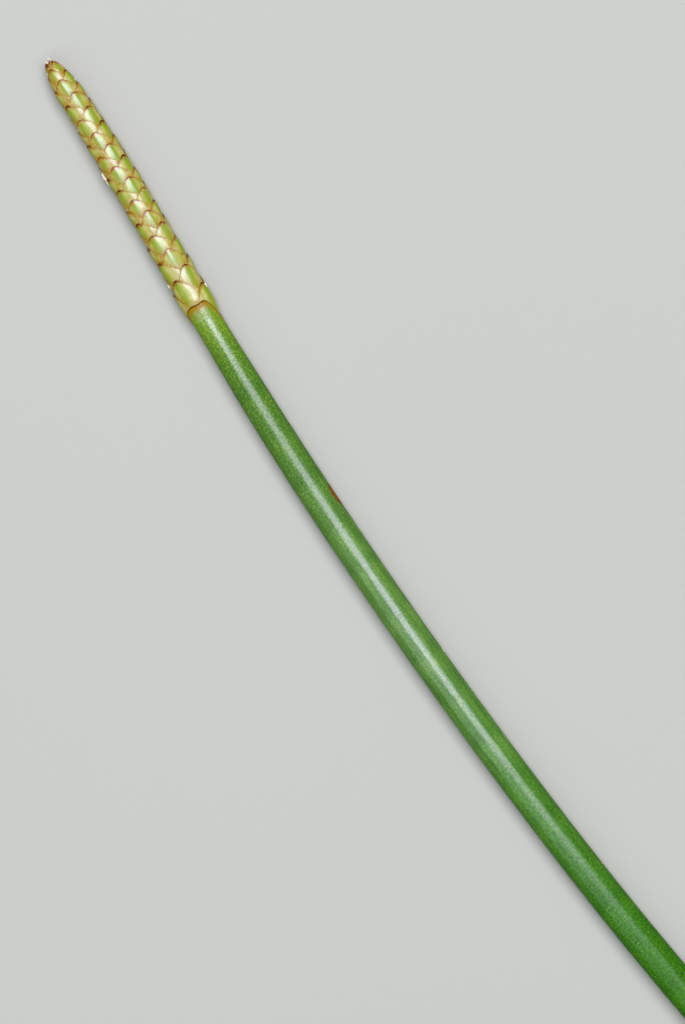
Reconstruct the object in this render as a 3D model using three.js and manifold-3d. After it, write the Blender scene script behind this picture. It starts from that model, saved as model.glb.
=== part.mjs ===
// A picked stem of knotted spikerush, lying on a surface.
// The stem is cut at one end and carries a single cone-like head of overlapping scales at the other.
// Millimetres, +Z up, the stem along X with its head at +X, and its underside on z = 0.
// A place on the plant is given by s, the distance from the cut end along the middle line, and by an
// azimuth round that line, from the side that faces up to the right as seen from the cut end.
import * as THREE from "three";
import { mergeVertices } from "three/addons/utils/BufferGeometryUtils.js";
import Module from "manifold-3d";

const wasm = await Module();
wasm.setup();

const { clamp, degToRad, lerp } = THREE.MathUtils;

// Driving dimensions of the stem
const STEM_LENGTH = 106;
const STEM_SIDES = 32;
const FLATTENED = 0.06; // how deep the soft underside gives where it lies
const LIFT_FROM = 80; // from here the thinner neck rises off the surface towards the head

// The cross walls that give the plant its name show as faint swellings, not quite evenly spaced
const SEPTUM_SPACING = 6.05;
const SEPTUM_SHIFT = 0.55;
const SEPTUM_SHIFT_RATE = 2.1;
const SEPTUM_SWELL = 0.035;
const SEPTUM_HALF_WIDTH = 0.45;
const NECK_LENGTH = 8; // without septa

// The hollow that shows at the cut ends at the first cross wall
const FIRST_SEPTUM = 2.6;
const HOLLOW_RADIUS = 1.5;

// Half the stem's thickness
const STEM_RADII = [
  [0, 2.1],
  [30, 2.06],
  [60, 2.02],
  [80, 1.97],
  [94, 1.87],
  [101, 1.74],
  [103.7, 1.74],
  [105, 1.87],
  [STEM_LENGTH, 1.93],
];

// Driving dimensions of the head
const HEAD_LENGTH = 33.7; // above the rim of the clasping scale
const HEAD_RESTING_RADIUS = 2.03; // where its lowest scales touch the surface
const SCALE_COUNT = 78;
const FIRST_SCALE_HEIGHT = 1.4; // of its tip above the rim
const FIRST_SCALE_AZIMUTH = degToRad(-154.4);
const DIVERGENCE = degToRad(149.15); // turn from one scale to the next
const DIVERGENCE_GROWTH = degToRad(0.015);
const SCALE_DRIFTS = [
  [50, 0],
  [59, 12],
  [63, 24],
  [66, 24],
  [70, 38],
  [78, 44],
]; // how many degrees the crowded scales near the tip stray from that spiral, by the scale's number
const SCALE_LEAN = 0.085; // how far a scale's face sinks in for each millimetre below its tip
const SCALE_LENGTH = 4.4;
const SCALE_HALF_WIDTH = 2.7;
const SCALE_TIP_ROUNDING = 0.45;
const SCALE_COLUMNS = 10;
const SCALE_ROWS = 4;
const SCALE_ROOT_SHARE = 0.55; // of the head's radius
const WIDEST_SCALE_TURN = degToRad(96);
const STALK_SHARE = 0.76; // of the head's radius
const STALK_SIDES = 20;
const STALK_RINGS = 18;

// How steeply a scale's edges fall away beside its tip, by the scale's number from the bottom
const SCALE_FLANK_SLOPES = [
  [0, 1.25],
  [10, 1],
];

// Distance between scales, by the scale's number from the bottom
const INTERNODES = [
  [0, 0.55],
  [6, 0.55],
  [10, 0.45],
  [16, 0.45],
  [21, 0.38],
  [46, 0.38],
  [54, 0.43],
  [62, 0.45],
  [70, 0.36],
  [SCALE_COUNT, 0.3],
];

// Half the head's thickness over the tips of its scales, by the distance from the head's tip
const HEAD_RADII = [
  [0, 0.1],
  [0.3, 0.38],
  [0.8, 0.72],
  [1.6, 1.05],
  [2.2, 1.24],
  [3.5, 1.5],
  [4.9, 1.64],
  [7.7, 1.71],
  [10.4, 1.79],
  [16, 1.9],
  [22, 1.9],
  [27, 1.96],
  [31, 2.02],
  [32.5, 2.1],
  [HEAD_LENGTH, 2.19],
  [35.7, 2.05],
  [38, 1.9],
];

// The way that the whole plant points, seen from above, in degrees to the left of +X:
// the stem is a wide arc, and the head swings back towards its tip
const HEADINGS = [
  [0, 5.8],
  [26, 3.1],
  [58, 0.3],
  [80, -1.8],
  [100, -3.9],
  [112, -4.5],
  [121, -4],
  [131, -2.4],
  [STEM_LENGTH + HEAD_LENGTH, -0.4],
];

// The lowest, empty scale clasps the head's foot and is one with the stem.
// Its edge is level on the upper side, and falls on the right and more gently on the left.
const CLASP_FALL = 2.3;
const CLASP_RIGHT = [22, 80].map(degToRad);
const CLASP_LEFT = [38, 130].map(degToRad);
const CUP_RADIUS = 1.42;
const CUP_FLOOR = STEM_LENGTH - 3.1;
const CUP_WALL_SHARES = [0, 0.4, 0.75, 1];
const CUP_CLEARANCE = 0.1;

const LINE_STEP = 0.25;
const MERGE_DISTANCE = 1e-4;

const smooth = (from, to, x) => THREE.MathUtils.smoothstep(x, from, to);

// A smooth value between the listed stations, with a level slope at each end
function along(stations, x) {
  const last = stations.length - 1;
  if (x <= stations[0][0]) return stations[0][1];
  if (x >= stations[last][0]) return stations[last][1];
  const i = stations.findIndex(([at]) => at > x) - 1;
  const slopeAt = (k) => {
    if (k === 0 || k === last) return 0;
    const [x0, y0] = stations[k - 1];
    const [x1, y1] = stations[k + 1];
    return (y1 - y0) / (x1 - x0);
  };
  const [x0, y0] = stations[i];
  const [x1, y1] = stations[i + 1];
  const span = x1 - x0;
  const t = (x - x0) / span;
  const t2 = t * t;
  const t3 = t2 * t;
  const rise = (y1 - y0) * (3 * t2 - 2 * t3);
  return y0 + rise + span * (slopeAt(i) * (t3 - 2 * t2 + t) + slopeAt(i + 1) * (t3 - t2));
}

const fullLength = STEM_LENGTH + HEAD_LENGTH;
const headRadius = (s) => along(HEAD_RADII, fullLength - s);

const septa = [];
for (let s = FIRST_SEPTUM; s < STEM_LENGTH - NECK_LENGTH; ) {
  const shift = SEPTUM_SHIFT * Math.sin(SEPTUM_SHIFT_RATE * septa.length);
  septa.push(s);
  s += SEPTUM_SPACING + shift;
}

function stemRadius(s) {
  const swells = septa.map((at) => Math.exp(-(((s - at) / SEPTUM_HALF_WIDTH) ** 2)));
  return along(STEM_RADII, s) + SEPTUM_SWELL * swells.reduce((sum, swell) => sum + swell);
}

const heading = (s) => degToRad(along(HEADINGS, s));

function makeMiddleLine() {
  const points = [new THREE.Vector2(0, 0)];
  for (let s = 0; s < fullLength; s += LINE_STEP) {
    const angle = heading(s + LINE_STEP / 2);
    const step = new THREE.Vector2(Math.cos(angle), Math.sin(angle));
    points.push(step.multiplyScalar(LINE_STEP).add(points[points.length - 1]));
  }
  // Turned so that its two ends lie on one line along X
  const end = points[points.length - 1];
  const turn = -Math.atan2(end.y, end.x);
  points.forEach((point) => point.rotateAround(new THREE.Vector2(), turn));
  return { points, turn };
}

const middleLine = makeMiddleLine();

function height(s) {
  const lying = along(STEM_RADII, s) - FLATTENED;
  return lerp(lying, HEAD_RESTING_RADIUS - FLATTENED, smooth(LIFT_FROM, STEM_LENGTH, s));
}

function lineAt(s) {
  const { points } = middleLine;
  const place = clamp(s / LINE_STEP, 0, points.length - 1);
  const i = Math.min(Math.floor(place), points.length - 2);
  const flat = points[i].clone().lerp(points[i + 1], place - i);
  return new THREE.Vector3(flat.x, flat.y, height(s));
}

function around(s, azimuth, radius) {
  const angle = heading(s) + middleLine.turn;
  const right = new THREE.Vector3(Math.sin(angle), -Math.cos(angle), 0);
  const point = lineAt(s).addScaledVector(right, radius * Math.sin(azimuth));
  point.z += radius * Math.cos(azimuth);
  return point;
}

function claspEdge(azimuth) {
  const toRight = Math.atan2(Math.sin(azimuth), Math.cos(azimuth));
  const fall = Math.max(smooth(...CLASP_RIGHT, toRight), smooth(...CLASP_LEFT, -toRight));
  return STEM_LENGTH - CLASP_FALL * fall;
}

// One ring of points round the middle line: place gives s and the radius for an azimuth
function ring(sides, place) {
  return Array.from({ length: sides }, (_, c) => {
    const azimuth = (c / sides) * 2 * Math.PI;
    const [s, radius] = place(azimuth);
    return around(s, azimuth, radius);
  });
}

// The faces between one ring of points and the next
function joinRings(index, sides, from, to) {
  for (let c = 0; c < sides; c += 1) {
    const next = (c + 1) % sides;
    const [a, b] = [from * sides + c, from * sides + next];
    const [a2, b2] = [to * sides + c, to * sides + next];
    index.push(a, b, a2, b, b2, a2);
  }
}

// A closed body from rings: each joins the next, and both ends close on a middle point
function closeRings(rings, firstMiddle, lastMiddle) {
  const sides = rings[0].length;
  const points = [...rings.flat(), firstMiddle, lastMiddle];
  const [first, last] = [points.length - 2, points.length - 1];
  const lastRing = (rings.length - 1) * sides;
  const index = [];
  for (let r = 0; r + 1 < rings.length; r += 1) joinRings(index, sides, r, r + 1);
  for (let c = 0; c < sides; c += 1) {
    const next = (c + 1) % sides;
    index.push(first, next, c);
    index.push(last, lastRing + c, lastRing + next);
  }
  return new THREE.BufferGeometry().setFromPoints(points).setIndex(index);
}

function stemStations() {
  const stations = [0];
  septa.forEach((at, k) => {
    const next = septa[k + 1] ?? at + SEPTUM_SPACING;
    stations.push(at - SEPTUM_HALF_WIDTH, at, at + SEPTUM_HALF_WIDTH, (at + next) / 2);
  });
  return stations;
}

// The stem: the hollow at its cut end, the long outside, and the cup of the clasping scale at its top
function makeStem() {
  const rings = [
    ring(STEM_SIDES, () => [FIRST_SEPTUM, HOLLOW_RADIUS]),
    ring(STEM_SIDES, () => [0, HOLLOW_RADIUS]),
    ...stemStations().map((s) => ring(STEM_SIDES, () => [s, stemRadius(s)])),
    ...CUP_WALL_SHARES.map((share) =>
      ring(STEM_SIDES, (azimuth) => {
        const s = lerp(CUP_FLOOR, claspEdge(azimuth), share);
        return [s, stemRadius(s)];
      }),
    ),
    ring(STEM_SIDES, (azimuth) => [claspEdge(azimuth), CUP_RADIUS]),
    ring(STEM_SIDES, () => [CUP_FLOOR, CUP_RADIUS]),
  ];
  rings.flat().forEach((point) => {
    point.z = Math.max(0, point.z);
  });
  return closeRings(rings, lineAt(FIRST_SEPTUM), lineAt(CUP_FLOOR));
}

// One scale of the head: a face like the tip of a broad oval, on walls that reach into the stalk
function makeScale(tipAt, azimuth, slope) {
  const points = [];
  const rollRadius = headRadius(tipAt - SCALE_LENGTH / 2);
  for (const inner of [false, true]) {
    for (let row = 0; row <= SCALE_ROWS; row += 1) {
      for (let column = 0; column <= SCALE_COLUMNS; column += 1) {
        const across = ((2 * column) / SCALE_COLUMNS - 1) * SCALE_HALF_WIDTH;
        const edge = Math.hypot(SCALE_TIP_ROUNDING, slope * across) - SCALE_TIP_ROUNDING;
        const down = lerp(edge, SCALE_LENGTH, row / SCALE_ROWS);
        const outside = headRadius(tipAt - down);
        const radius = inner ? SCALE_ROOT_SHARE * outside : outside - SCALE_LEAN * down;
        const turn = clamp(across / rollRadius, -WIDEST_SCALE_TURN, WIDEST_SCALE_TURN);
        points.push(around(tipAt - down, azimuth + turn, radius));
      }
    }
  }
  const wide = SCALE_COLUMNS + 1;
  const layer = wide * (SCALE_ROWS + 1);
  const index = [];
  const quad = (a, b, c, d) => index.push(a, b, c, a, c, d);
  for (let row = 0; row < SCALE_ROWS; row += 1) {
    const left = row * wide;
    const right = left + SCALE_COLUMNS;
    quad(left + wide, left, layer + left, layer + left + wide);
    quad(right, right + wide, layer + right + wide, layer + right);
    for (let a = left; a < right; a += 1) {
      quad(a, a + wide, a + wide + 1, a + 1);
      quad(layer + a, layer + a + 1, layer + a + wide + 1, layer + a + wide);
    }
  }
  for (let column = 0; column < SCALE_COLUMNS; column += 1) {
    const bottom = SCALE_ROWS * wide + column;
    quad(column, column + 1, layer + column + 1, layer + column);
    quad(bottom + 1, bottom, layer + bottom, layer + bottom + 1);
  }
  return new THREE.BufferGeometry().setFromPoints(points).setIndex(index);
}

// The stalk that the scales grow from, with the foot that stands in the stem's cup
function makeStalk() {
  const from = CUP_FLOOR + CUP_CLEARANCE;
  const rings = Array.from({ length: STALK_RINGS + 1 }, (_, i) => {
    const s = lerp(from, fullLength, Math.sin(((i / STALK_RINGS) * Math.PI) / 2));
    return ring(STALK_SIDES, () => [s, STALK_SHARE * headRadius(s)]);
  });
  return closeRings(rings, lineAt(from), lineAt(fullLength));
}

// The room that the head leaves to the stem: a thick sleeve up to the clasping edge, open in the middle
function makeSleeve() {
  const inner = CUP_RADIUS - CUP_CLEARANCE;
  const outer = 2 * CUP_RADIUS;
  const low = CUP_FLOOR - 1;
  const edge = (azimuth) => claspEdge(azimuth) + CUP_CLEARANCE;
  const rings = [
    ring(STEM_SIDES, () => [low, inner]),
    ring(STEM_SIDES, () => [low, outer]),
    ring(STEM_SIDES, (azimuth) => [edge(azimuth), outer]),
    ring(STEM_SIDES, (azimuth) => [edge(azimuth), inner]),
  ];
  const index = [];
  rings.forEach((_, r) => joinRings(index, STEM_SIDES, r, (r + 1) % rings.length));
  return new THREE.BufferGeometry().setFromPoints(rings.flat()).setIndex(index);
}

// Everything below the surface that the plant lies on
function makeGround() {
  const depth = 10;
  const ground = new THREE.BoxGeometry(3 * fullLength, fullLength, depth);
  ground.translate(0, 0, -depth / 2);
  ground.deleteAttribute("normal");
  ground.deleteAttribute("uv");
  return ground;
}

function toSolid(geometry) {
  const merged = mergeVertices(geometry, MERGE_DISTANCE);
  const vertProperties = new Float32Array(merged.attributes.position.array);
  const triVerts = new Uint32Array(merged.index.array);
  return new wasm.Manifold(new wasm.Mesh({ numProp: 3, vertProperties, triVerts }));
}

function toGeometry(solid) {
  const { vertProperties, triVerts } = solid.getMesh();
  const geometry = new THREE.BufferGeometry();
  geometry.setAttribute("position", new THREE.BufferAttribute(vertProperties, 3));
  geometry.setIndex(new THREE.BufferAttribute(triVerts, 1));
  return geometry;
}

// The head: the stalk and all the scales on it, grown together
function makeHead() {
  const solids = [toSolid(makeStalk())];
  let tipAt = STEM_LENGTH + FIRST_SCALE_HEIGHT;
  let azimuth = FIRST_SCALE_AZIMUTH;
  for (let k = 0; k < SCALE_COUNT && tipAt < fullLength; k += 1) {
    const drifted = azimuth + degToRad(along(SCALE_DRIFTS, k));
    solids.push(toSolid(makeScale(tipAt, drifted, along(SCALE_FLANK_SLOPES, k))));
    tipAt += along(INTERNODES, k);
    azimuth -= DIVERGENCE + DIVERGENCE_GROWTH * k;
  }
  const grown = wasm.Manifold.union(solids);
  const fitted = grown.subtract(toSolid(makeSleeve())).subtract(toSolid(makeGround()));
  const [whole] = fitted.decompose().sort((a, b) => b.volume() - a.volume());
  return toGeometry(whole);
}

const stemGreen = new THREE.MeshStandardMaterial({ color: 0x4f8f2b, roughness: 0.45, metalness: 0 });
const scaleGreen = new THREE.MeshStandardMaterial({ color: 0xb9b45a, roughness: 0.4, metalness: 0 });

const culm = new THREE.Mesh(makeStem(), stemGreen);
culm.name = "culm";
const spikelet = new THREE.Mesh(makeHead(), scaleGreen);
spikelet.name = "spikelet";

const spikerush = new THREE.Group();
spikerush.add(culm, spikelet);

// The middle of the whole outline goes over the origin
const middle = new THREE.Box3().setFromObject(spikerush).getCenter(new THREE.Vector3());
spikerush.position.set(-middle.x, -middle.y, 0);

export default spikerush;
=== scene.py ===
# One picked stem of knotted spikerush with its flowering head, lying on a pale table
import math

import bpy
import numpy as np
from mathutils import Matrix, Vector


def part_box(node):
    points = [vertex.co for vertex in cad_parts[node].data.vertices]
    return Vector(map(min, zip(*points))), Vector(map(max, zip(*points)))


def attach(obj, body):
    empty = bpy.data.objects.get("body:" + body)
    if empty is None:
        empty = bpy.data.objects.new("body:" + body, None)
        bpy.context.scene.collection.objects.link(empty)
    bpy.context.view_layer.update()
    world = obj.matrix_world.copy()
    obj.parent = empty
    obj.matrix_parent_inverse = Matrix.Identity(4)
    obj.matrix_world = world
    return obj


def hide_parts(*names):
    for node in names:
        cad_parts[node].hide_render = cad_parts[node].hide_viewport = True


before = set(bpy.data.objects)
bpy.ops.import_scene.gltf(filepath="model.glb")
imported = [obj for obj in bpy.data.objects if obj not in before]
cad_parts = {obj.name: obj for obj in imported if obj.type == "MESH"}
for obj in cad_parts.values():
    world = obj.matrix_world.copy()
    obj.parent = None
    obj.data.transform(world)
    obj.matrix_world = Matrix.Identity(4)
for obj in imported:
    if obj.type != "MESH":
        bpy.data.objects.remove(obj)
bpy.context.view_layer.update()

# Lengths are in millimetres and angles in degrees, unless a note says otherwise. Colours of three whole
# numbers are sRGB from 0 to 255, and the others are linear.
# A place on the plant: s runs along its middle line from the cut end, and the azimuth goes round
# that line, from the side that faces up to the right as seen from the cut end.
mm = 0.001
dice = np.random.default_rng(11)

plant = {
    "stemLength": 106.0,
    "headLength": 33.7,
    "stemRadii": [(0, 2.1), (30, 2.06), (60, 2.02), (80, 1.97), (94, 1.87), (101, 1.74),
                  (103.7, 1.74), (105, 1.87), (106, 1.93)],
    "headRadii": [(0, 0.1), (0.3, 0.38), (0.8, 0.72), (1.6, 1.05), (2.2, 1.24), (3.5, 1.5),
                  (4.9, 1.64), (7.7, 1.71), (10.4, 1.79), (16, 1.9), (22, 1.9), (27, 1.96),
                  (31, 2.02), (32.5, 2.1), (33.7, 2.19), (35.7, 2.05), (38, 1.9)],  # from the tip
    "headings": [(0, 5.8), (26, 3.1), (58, 0.3), (80, -1.8), (100, -3.9), (112, -4.5),
                 (121, -4), (131, -2.4), (139.7, -0.4)],  # to the left of +X
    "flattened": 0.06,
    "liftFrom": 80.0,
    "headRestingRadius": 2.03,
    "lineStep": 0.25,
    "firstSeptum": 2.6,
    "septumSpacing": 6.05,
    "septumShift": 0.55,
    "septumShiftRate": 2.1,
    "septumSwell": 0.012,
    "packedSwell": 0.035,
    "septumHalfWidth": 0.45,
    "neckLength": 8.0,
}
fullLength = plant["stemLength"] + plant["headLength"]


def along(stations, x):
    # a smooth value between stations, level at both ends
    at, value = np.array(stations, float).T
    slope = np.zeros(len(at))
    slope[1:-1] = (value[2:] - value[:-2]) / (at[2:] - at[:-2])
    x = np.clip(x, at[0], at[-1])
    i = np.clip(np.searchsorted(at, x, side="right") - 1, 0, len(at) - 2)
    span = at[i + 1] - at[i]
    t = (x - at[i]) / span
    rise = (value[i + 1] - value[i]) * (3 * t**2 - 2 * t**3)
    return value[i] + rise + span * (slope[i] * (t**3 - 2 * t**2 + t) + slope[i + 1] * (t**3 - t**2))


def smooth(start, end, x):
    t = np.clip((np.asarray(x, float) - start) / (end - start), 0, 1)
    return t * t * (3 - 2 * t)


def hump(x, width):
    return np.exp(-((np.asarray(x, float) / width) ** 2))


def wrapAngle(x):
    return np.arctan2(np.sin(x), np.cos(x))


# The middle line
steps = math.ceil(fullLength / plant["lineStep"])
lineS = np.arange(steps + 1) * plant["lineStep"]
headingAt = np.radians(along(plant["headings"], lineS[:-1] + plant["lineStep"] / 2))
lineX = np.concatenate([[0], np.cumsum(np.cos(headingAt))]) * plant["lineStep"]
lineY = np.concatenate([[0], np.cumsum(np.sin(headingAt))]) * plant["lineStep"]
lineTurn = -math.atan2(lineY[-1], lineX[-1])
lineX, lineY = (lineX * math.cos(lineTurn) - lineY * math.sin(lineTurn),
                lineX * math.sin(lineTurn) + lineY * math.cos(lineTurn))

septa = [plant["firstSeptum"]]
while septa[-1] < plant["stemLength"] - plant["neckLength"]:
    extra = plant["septumShift"] * math.sin(plant["septumShiftRate"] * (len(septa) - 1))
    septa.append(septa[-1] + plant["septumSpacing"] + extra)
septa.pop()


def septumAt(s):
    return sum(hump(s - at, plant["septumHalfWidth"]) for at in septa)


def septumTone(s):
    # 1 where the skin is paler, just below a cross wall, and 0 where it is darker, just above it
    tone = 0
    for k, at in enumerate(septa):
        tone = tone + (1.0 if k % 2 else 0.6) * (hump(s - at + 1.2, 1.2) - hump(s - at - 0.7, 0.7))
    return np.clip(0.5 + 0.5 * tone, 0, 1)


def plainRadius(s, swell=plant["septumSwell"]):
    return along(plant["stemRadii"], s) + swell * septumAt(s)


def headRadius(s):
    return along(plant["headRadii"], fullLength - np.asarray(s, float))


def lineHeight(s):
    lying = along(plant["stemRadii"], s) - plant["flattened"]
    raised = plant["headRestingRadius"] - plant["flattened"]
    return lying + (raised - lying) * smooth(plant["liftFrom"], plant["stemLength"], s)


def place(s, azimuth, radius):
    # points in metres; azimuth in radians
    s, azimuth, radius = np.broadcast_arrays(s, azimuth, radius)
    angle = np.radians(along(plant["headings"], s)) + lineTurn
    side = radius * np.sin(azimuth)
    x = np.interp(s, lineS, lineX) + side * np.sin(angle)
    y = np.interp(s, lineS, lineY) - side * np.cos(angle)
    z = lineHeight(s) + radius * np.cos(azimuth)
    return (np.stack([x, y, z], -1) + shift) * mm


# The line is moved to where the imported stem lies
shift = np.zeros(3)
probeS = np.arange(0, plant["stemLength"], 0.05)
widest = place(probeS, -math.pi / 2, plainRadius(probeS, plant["packedSwell"])) / mm
cutRing = place(0, np.linspace(-math.pi, math.pi, 65), plant["stemRadii"][0][1]) / mm
stemLow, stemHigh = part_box("culm")
shift = np.array([stemLow.x / mm - cutRing[:, 0].min(), stemHigh.y / mm - widest[:, 1].max(), 0])
print("middle line moved to", shift.round(4).tolist())


# Mesh helpers
def layDown(points, softness=0.00001):
    # nothing goes below the table, and the underside eases onto it
    z = points[..., 2]
    points[..., 2] = 0.5 * (z + np.sqrt(z * z + softness**2))
    return points


class Patchwork:
    # points, faces and per-corner maps of one piece, gathered patch by patch
    def __init__(self, *mapNames):
        self.points, self.faces, self.slots = [], [], []
        self.maps = {name: [] for name in mapNames}
        self.count = 0

    def addPoints(self, points):
        first = self.count
        self.points.append(np.asarray(points, float).reshape(-1, 3))
        self.count += len(self.points[-1])
        return first

    def addFace(self, corners, mapRows=None, slot=0):
        self.faces.append(list(corners))
        self.slots.append(slot)
        for name, stored in self.maps.items():
            stored.extend((mapRows or {}).get(name, [(0.0, 0.0)] * len(corners)))

    def addGrid(self, points, maps=None, wrap=False, flip=False, slots=None):
        rows, columns = points.shape[:2]
        first = self.addPoints(points)
        r, c = np.meshgrid(np.arange(rows - 1), np.arange(columns - (0 if wrap else 1)), indexing="ij")
        r, c = r.ravel(), c.ravel()
        corners = [(r, c), (r, c + 1), (r + 1, c + 1), (r + 1, c)]
        if flip:
            corners = corners[::-1]
        self.faces.extend(np.stack([first + a * columns + b % columns for a, b in corners], 1).tolist())
        for name, stored in self.maps.items():
            if maps and name in maps:
                stored.extend(np.stack([maps[name][a, b] for a, b in corners], 1).reshape(-1, 2).tolist())
            else:
                stored.extend([(0.0, 0.0)] * (4 * len(r)))
        self.slots.extend([0] * len(r) if slots is None else np.asarray(slots)[r].tolist())
        return first

    def addFan(self, middle, ring, reverse, mapRow=None, slot=0):
        # closes a ring of point numbers on one middle point
        tip = self.addPoints(middle)
        rows = {name: [row] * 3 for name, row in (mapRow or {}).items()}
        for c in range(len(ring)):
            pair = [ring[c], ring[(c + 1) % len(ring)]]
            self.addFace([tip] + (pair[::-1] if reverse else pair), rows, slot)

    def addTube(self, points, maps, mapRow, flip=False, ends=None):
        # a grid that wraps round, with a fan at each end
        rows, sides = points.shape[:2]
        first = self.addGrid(points, maps, wrap=True, flip=flip)
        last = first + (rows - 1) * sides
        start, end = ends or (points[0].mean(0), points[-1].mean(0))
        self.addFan(start, list(range(first, first + sides)), not flip, mapRow)
        self.addFan(end, list(range(last, last + sides)), flip, mapRow)

    def addSheet(self, outside, inside, maps=None):
        # a thin closed plate between two grids of points
        rows, columns = outside.shape[:2]
        both = np.concatenate([outside, inside[::-1]], 0)
        bothMaps = {name: np.concatenate([value, value[::-1]], 0) for name, value in (maps or {}).items()}
        first = self.addGrid(both, bothMaps, flip=True)
        last = 2 * rows - 1

        def close(spots):
            rowsOf = {name: [value[r, c].tolist() for r, c in spots] for name, value in bothMaps.items()}
            self.addFace([first + r * columns + c for r, c in spots], rowsOf)

        right = columns - 1
        for c in range(right):
            close([(0, c), (0, c + 1), (last, c + 1), (last, c)])
        for r in range(rows - 1):
            close([(r + 1, 0), (last - r - 1, 0), (last - r, 0), (r, 0)])
            close([(r, right), (last - r, right), (last - r - 1, right), (r + 1, right)])

    def finish(self, name, materials, nodes=()):
        mesh = bpy.data.meshes.new(name)
        mesh.from_pydata(np.concatenate(self.points).tolist(), [], self.faces)
        for mapName, stored in self.maps.items():
            layer = mesh.uv_layers.new(name=mapName)
            layer.data.foreach_set("uv", np.array(stored, np.float32).ravel())
        for material in materials:
            mesh.materials.append(material)
        mesh.polygons.foreach_set("material_index", np.array(self.slots, np.int32))
        mesh.polygons.foreach_set("use_smooth", np.ones(len(self.faces), bool))
        mesh.update()
        piece = bpy.data.objects.new(name, mesh)
        bpy.context.scene.collection.objects.link(piece)
        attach(piece, "root")
        if nodes:
            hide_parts(*nodes)
        print(name, len(mesh.vertices), "points,", len(mesh.polygons), "faces")


# Shader helpers
def srgb(r, g, b):
    def linear(v):
        v /= 255
        return v / 12.92 if v <= 0.04045 else ((v + 0.055) / 1.055) ** 2.4
    return (linear(r), linear(g), linear(b), 1.0)


def put(tree, kind, values=None, **settings):
    # a node, with a link or a fixed value for each input that is given
    node = tree.nodes.new(kind)
    for key, value in settings.items():
        setattr(node, key, value)
    for key, value in (values or {}).items():
        if isinstance(value, bpy.types.NodeSocket):
            tree.links.new(value, node.inputs[key])
        else:
            node.inputs[key].default_value = value
    return node


def calc(tree, operation, a, b=0.0, c=None):
    values = {0: a, 1: b}
    if c is not None:
        values[2] = c
    return put(tree, "ShaderNodeMath", values, operation=operation).outputs[0]


def timesPlus(tree, a, b, c):
    # a times b, plus c
    return calc(tree, "MULTIPLY_ADD", a, b, c)


def times(tree, *factors):
    result = factors[0]
    for factor in factors[1:]:
        result = calc(tree, "MULTIPLY", result, factor)
    return result


def band(tree, value, start, end, low=0.0, high=1.0):
    # a soft step from low at start to high at end
    return put(tree, "ShaderNodeMapRange", {"Value": value, "From Min": start, "From Max": end,
               "To Min": low, "To Max": high}, interpolation_type="SMOOTHSTEP").outputs[0]


def near(tree, value, middle, start, end):
    # 1 close to the middle, 0 from start outwards
    away = calc(tree, "ABSOLUTE", calc(tree, "SUBTRACT", value, middle))
    return band(tree, away, start, end)


def tint(tree, mask, under, over, mode="MIX"):
    node = put(tree, "ShaderNodeMix", {0: mask, 6: under, 7: over}, data_type="RGBA", blend_type=mode)
    return node.outputs[2]


def paint(tree, colour, palette, layers):
    # lays named colours of the palette over the first, each through its mask
    for mask, name in layers:
        colour = tint(tree, mask, colour, srgb(*palette[name]))
    return colour


def stretch(tree, vector, scale, offset=(0, 0, 0)):
    values = {0: vector, 1: scale, 2: offset}
    return put(tree, "ShaderNodeVectorMath", values, operation="MULTIPLY_ADD").outputs[0]


def inCells(tree, vector, size):
    # the vector measured in cells of that size
    values = {0: vector, 3: calc(tree, "DIVIDE", 1.0, size)}
    return put(tree, "ShaderNodeVectorMath", values, operation="SCALE").outputs[0]


def mapped(tree, name, scale=(1, 1, 1), offset=(0, 0, 0)):
    return stretch(tree, put(tree, "ShaderNodeUVMap", uv_map=name).outputs[0], scale, offset)


def split(tree, vector):
    return put(tree, "ShaderNodeSeparateXYZ", {0: vector}).outputs


def newGroup(name, inputs, outputs):
    group = bpy.data.node_groups.new(name, "ShaderNodeTree")
    for label, kind, start in inputs:
        socket = group.interface.new_socket(name=label, in_out="INPUT", socket_type=kind)
        if start is not None:
            socket.default_value = start
    for label, kind in outputs:
        group.interface.new_socket(name=label, in_out="OUTPUT", socket_type=kind)
    return group, group.nodes.new("NodeGroupInput").outputs, group.nodes.new("NodeGroupOutput").inputs


def useGroup(tree, group, values):
    return put(tree, "ShaderNodeGroup", values, node_tree=group).outputs


def newMaterial(name, values):
    material = bpy.data.materials.new(name)
    material.use_nodes = True
    tree = material.node_tree
    surface = tree.nodes["Principled BSDF"]
    for key, value in values.items():
        surface.inputs[key].default_value = value
    return material, tree, surface


def turnedAway(tree, most, start, end):
    # the strength of the shine: most where the surface faces the eye, little towards the outline
    facing = put(tree, "ShaderNodeLayerWeight", {"Blend": 0.5}).outputs["Facing"]
    return band(tree, facing, start, end, most, 0.08 * most)


def setBump(tree, surface, height, strength, depth):
    bump = put(tree, "ShaderNodeBump", {"Height": height, "Strength": strength, "Distance": depth * mm})
    tree.links.new(bump.outputs[0], surface.inputs["Normal"])


vectorInput = ("Vector", "NodeSocketVector", None)

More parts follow.
